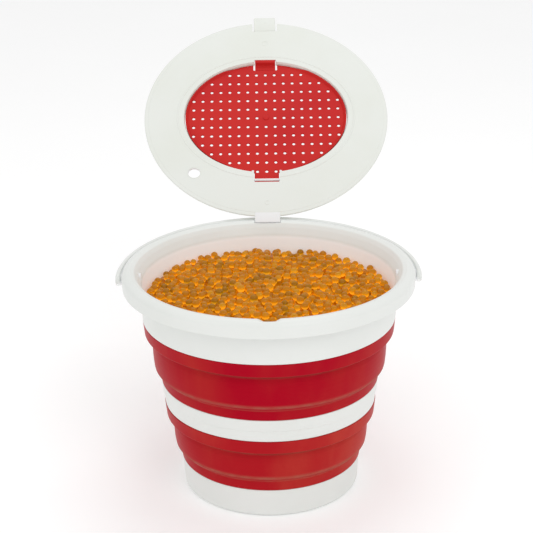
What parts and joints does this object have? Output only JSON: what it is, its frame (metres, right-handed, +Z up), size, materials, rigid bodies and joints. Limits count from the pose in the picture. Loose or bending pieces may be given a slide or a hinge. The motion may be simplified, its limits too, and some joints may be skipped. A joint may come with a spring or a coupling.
{
  "type": "collapsible bucket",
  "caption": "Round collapsible bucket with two folding walls, a strap handle and a hinged lid that holds a perforated strainer hatch.",
  "frame": {"origin": "centre of the flat underside", "axes": "+Z up, +Y towards the lid's hinge at the back, +X towards the handle's right end"},
  "size_m": [0.2892, 0.4871, 0.3859],
  "materials": {
    "white_plastic": "satin moulded polypropylene",
    "lid_plastic": "satin moulded polypropylene, slightly greener",
    "red_rubber": "soft satin thermoplastic rubber",
    "red_plastic": "semi-gloss moulded plastic"
  },
  "bodies": {
    "base": {"base_cup": "white_plastic", "lower_fold_band": "red_rubber"},
    "middle": {"middle_ring": "white_plastic", "upper_fold_band": "red_rubber"},
    "rim": {"rim_ring": "white_plastic"},
    "handle": {"handle": "white_plastic"},
    "lid": {"lid_ring": "lid_plastic"},
    "lid_latch": {"lid_latch": "lid_plastic"},
    "hatch": {"strainer_hatch": "red_plastic"},
    "hatch_latch": {"hatch_latch": "red_plastic"}
  },
  "joints": [
    {"name": "lower_fold", "type": "slide", "parent": "base", "child": "middle", "axis": [0, 0, 1], "range_m": [-0.075, 0], "deforming": ["lower_fold_band"]},
    {"name": "upper_fold", "type": "slide", "parent": "middle", "child": "rim", "axis": [0, 0, 1], "range_m": [-0.07, 0], "deforming": ["upper_fold_band"]},
    {"name": "handle_swing", "type": "hinge", "parent": "rim", "child": "handle", "pos_m": [0, 0, 0.209], "axis": [1, 0, 0], "range_deg": [-35, 0]},
    {"name": "lid_hinge", "type": "hinge", "parent": "rim", "child": "lid", "pos_m": [0, 0.1324, 0.2225], "axis": [1, 0, 0], "range_deg": [0, 143]},
    {"name": "lid_latch_flex", "type": "hinge", "parent": "lid", "child": "lid_latch", "pos_m": [0, 0.33254, 0.37332], "axis": [1, 0, 0], "range_deg": [-20, 0], "stiffness_Nm_per_rad": 0.1},
    {"name": "hatch_hinge", "type": "hinge", "parent": "lid", "child": "hatch", "pos_m": [0, 0.1723, 0.25131], "axis": [1, 0, 0], "range_deg": [-85, 0]},
    {"name": "hatch_latch_flex", "type": "hinge", "parent": "hatch", "child": "hatch_latch", "pos_m": [0, 0.2925, 0.33838], "axis": [1, 0, 0], "range_deg": [0, 12], "stiffness_Nm_per_rad": 0.1}
  ]
}
